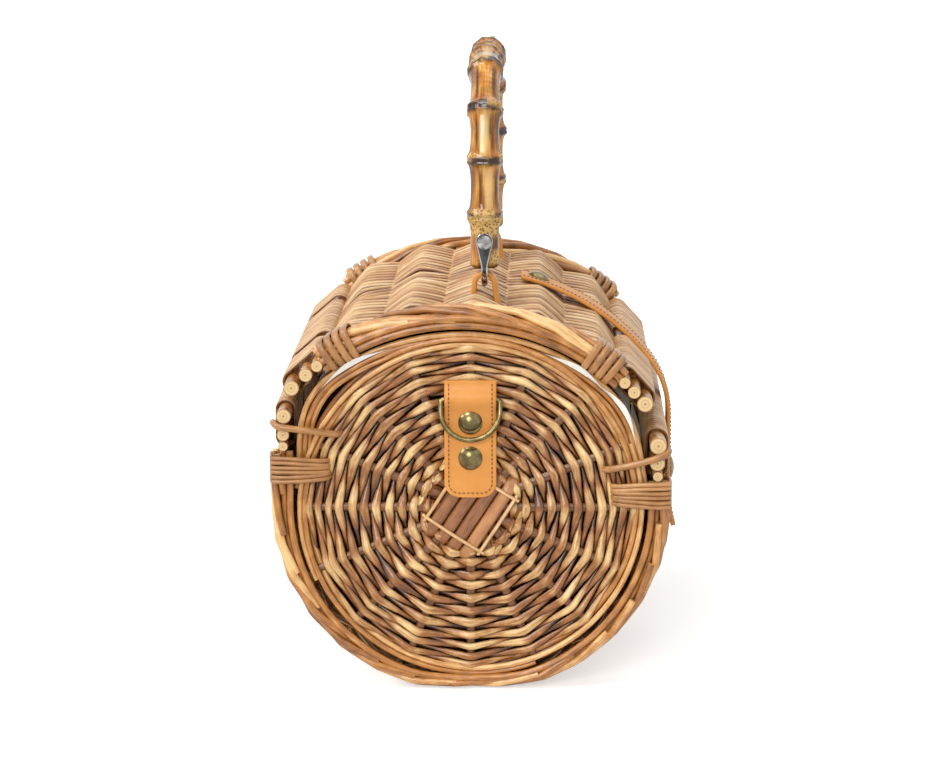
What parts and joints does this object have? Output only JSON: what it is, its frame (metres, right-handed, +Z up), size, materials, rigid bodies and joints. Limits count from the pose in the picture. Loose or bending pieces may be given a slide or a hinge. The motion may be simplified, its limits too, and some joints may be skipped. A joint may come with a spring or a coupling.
{
  "type": "wicker basket handbag",
  "caption": "Round wicker barrel handbag lying on its side, with woven end panels, a hinged woven lid, an arched bamboo handle on shackles, ring tabs and a leather closing strap",
  "frame": {"origin": "on the floor under the middle of the basket", "axes": "+X from the hinge side to the strap side, +Y along the barrel from the left end to the right end, +Z up to the handle"},
  "size_m": [0.1994, 0.2626, 0.3052],
  "materials": {
    "willow_weave": "varnished split willow",
    "willow_rod": "varnished round willow",
    "cane_binding": "satin flat cane",
    "bamboo": "glossy scorched bamboo",
    "tan_leather": "smooth stitched leather",
    "antique_brass": "antique satin",
    "polished_steel": "polished",
    "cotton": "plain cotton cloth"
  },
  "bodies": {
    "basket": {"basket_wall": "willow_weave", "cotton_lining": "cotton", "hinge_rod": "willow_rod", "back_rim_rods": "willow_rod", "back_rim_wraps": "willow_weave", "front_rim_rods": "willow_rod", "front_rim_wraps": "willow_weave", "snap_stud": "antique_brass", "left_end_panel": "willow_weave", "left_panel_border": "willow_rod", "left_panel_cross": "willow_rod", "left_wall_border": "willow_rod", "left_end_bindings": "cane_binding", "left_ring_tab": "tan_leather", "left_tab_rivets": "antique_brass", "right_end_panel": "willow_weave", "right_panel_border": "willow_rod", "right_panel_cross": "willow_rod", "right_wall_border": "willow_rod", "right_end_bindings": "cane_binding", "right_ring_tab": "tan_leather", "right_tab_rivets": "antique_brass"},
    "lid": {"lid_panel": "willow_weave", "lid_left_border": "willow_rod", "lid_right_border": "willow_rod", "lid_back_rods": "willow_rod", "lid_back_wraps": "willow_weave", "lid_front_rods": "willow_rod", "lid_front_wraps": "willow_weave", "lid_left_bindings": "cane_binding", "lid_right_bindings": "cane_binding", "hinge_loop_left": "cane_binding", "hinge_loop_right": "cane_binding", "left_handle_tab": "tan_leather", "right_handle_tab": "tan_leather", "closing_strap": "tan_leather", "strap_rivet": "antique_brass", "snap_cap": "antique_brass"},
    "left_shackle": {"left_shackle": "polished_steel", "left_shackle_screw": "polished_steel"},
    "right_shackle": {"right_shackle": "polished_steel", "right_shackle_screw": "polished_steel"},
    "handle": {"bamboo_handle": "bamboo"},
    "left_ring": {"left_d_ring": "antique_brass"},
    "right_ring": {"right_d_ring": "antique_brass"}
  },
  "joints": [
    {"name": "lid_hinge", "type": "hinge", "parent": "basket", "child": "lid", "pos_m": [-0.09, 0, 0.135], "axis": [0, -1, 0], "range_deg": [0, 100]},
    {"name": "left_shackle_swing", "type": "hinge", "parent": "lid", "child": "left_shackle", "pos_m": [0.006, -0.075, 0.19271], "axis": [0, 1, 0], "range_deg": [-35, 35]},
    {"name": "right_shackle_swing", "type": "hinge", "parent": "lid", "child": "right_shackle", "pos_m": [0.006, 0.075, 0.19271], "axis": [0, 1, 0], "range_deg": [-35, 35]},
    {"name": "handle_pivot", "type": "hinge", "parent": "left_shackle", "child": "handle", "pos_m": [0.006, -0.075, 0.21441], "axis": [0, 1, 0], "range_deg": [-50, 50]},
    {"name": "left_ring_swing", "type": "hinge", "parent": "basket", "child": "left_ring", "pos_m": [0, -0.1253, 0.144], "axis": [-1, 0, 0], "range_deg": [0, 145]},
    {"name": "right_ring_swing", "type": "hinge", "parent": "basket", "child": "right_ring", "pos_m": [0, 0.1253, 0.144], "axis": [1, 0, 0], "range_deg": [0, 145]}
  ],
  "couplings": [
    {"joint": "right_shackle_swing", "follows": "left_shackle_swing", "ratio": 1}
  ]
}
